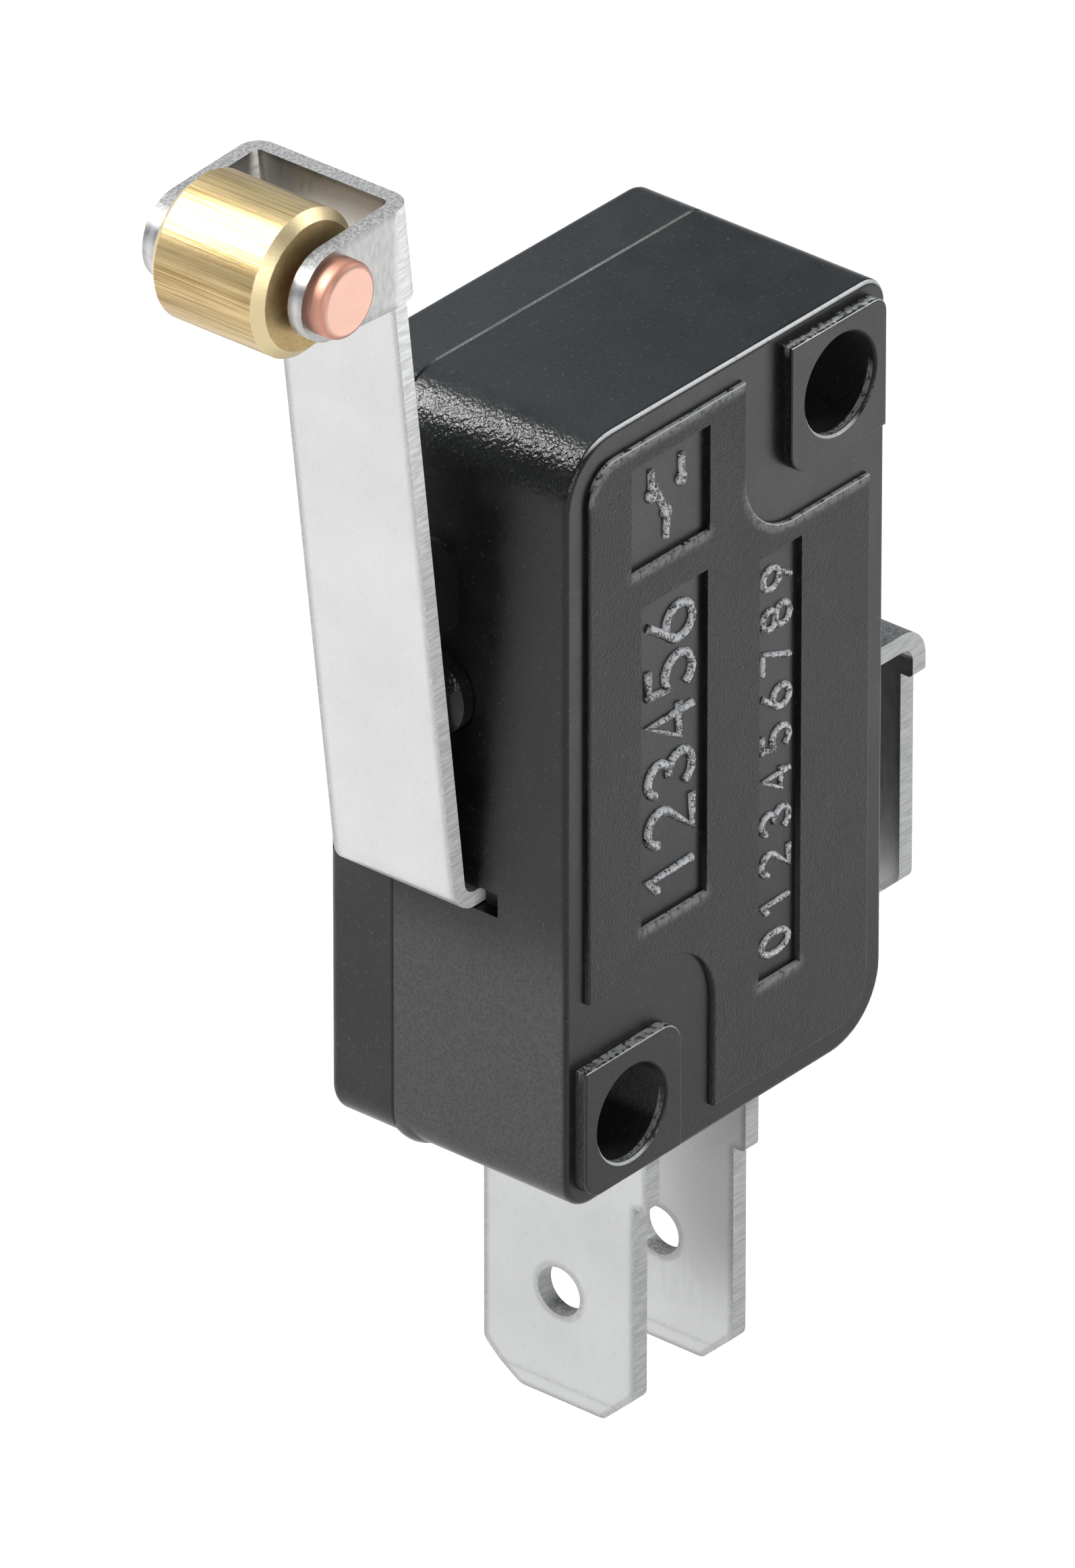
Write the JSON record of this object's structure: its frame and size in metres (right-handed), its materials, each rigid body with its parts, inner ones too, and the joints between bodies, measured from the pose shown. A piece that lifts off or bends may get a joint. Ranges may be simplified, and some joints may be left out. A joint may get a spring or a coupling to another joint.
{
  "type": "lever micro switch",
  "caption": "Snap-action micro switch: black moulded body with through screw holes, push-on tabs and a hinged steel lever that carries a brass roller.",
  "frame": {"origin": "centre of the mounting-hole pattern, halfway through the body's thickness", "axes": "+Z along the body's long side away from the push-on tabs, -Y out of the front with the raised panel, -X out of the lever side"},
  "size_m": [0.0295, 0.0104, 0.0495],
  "materials": {
    "case_plastic": "fine moulded grain",
    "cover_plastic": "fine moulded grain",
    "lever_steel": "satin stainless",
    "roller_brass": "turned",
    "rivet_copper": "satin copper",
    "terminal_plating": "bright plated",
    "plunger_plastic": "smooth moulded",
    "arm_bronze": "rolled",
    "contact_silver": "silver",
    "spring_steel": "drawn wire"
  },
  "bodies": {
    "housing": {"case": "case_plastic", "cover": "cover_plastic", "normally_closed_terminal": "terminal_plating", "normally_open_terminal": "terminal_plating", "common_terminal": "terminal_plating", "normally_closed_contact": "contact_silver", "normally_open_contact": "contact_silver"},
    "lever": {"roller_lever": "lever_steel", "roller_pin": "rivet_copper"},
    "roller": {"roller": "roller_brass"},
    "plunger": {"plunger": "plunger_plastic"},
    "drive_arm": {"drive_arm": "arm_bronze"},
    "contact_arm": {"contact_arm": "arm_bronze", "moving_contact": "contact_silver", "snap_spring": "spring_steel"}
  },
  "joints": [
    {"name": "lever_hinge", "type": "hinge", "parent": "housing", "child": "lever", "pos_m": [-0.007, 0.0016, -0.00353], "axis": [0, 1, 0], "range_deg": [0, 7], "stiffness_Nm_per_rad": 0.05, "springref_deg": -5.73},
    {"name": "roller_spin", "type": "hinge", "parent": "lever", "child": "roller", "pos_m": [-0.01559, 0.0016, 0.0219], "axis": [0, 1, 0], "continuous": true},
    {"name": "plunger_slide", "type": "slide", "parent": "housing", "child": "plunger", "axis": [1, 0, 0], "range_m": [0, 0.00092]},
    {"name": "drive_arm_hinge", "type": "hinge", "parent": "housing", "child": "drive_arm", "pos_m": [0.00101, 0, 0.0073], "axis": [0, -1, 0], "range_deg": [0, 16.1]},
    {"name": "contact_arm_hinge", "type": "hinge", "parent": "housing", "child": "contact_arm", "pos_m": [0.00101, 0, 0.0003], "axis": [0, -1, 0], "range_deg": [0, 3.1], "deforming": ["snap_spring"]}
  ],
  "couplings": [
    {"joint": "plunger_slide", "follows": "lever_hinge", "m_per_rad": 0.0073489},
    {"joint": "drive_arm_hinge", "follows": "lever_hinge", "ratio": 2.2857},
    {"joint": "contact_arm_hinge", "follows": "lever_hinge", "ratio": 0.42857}
  ]
}
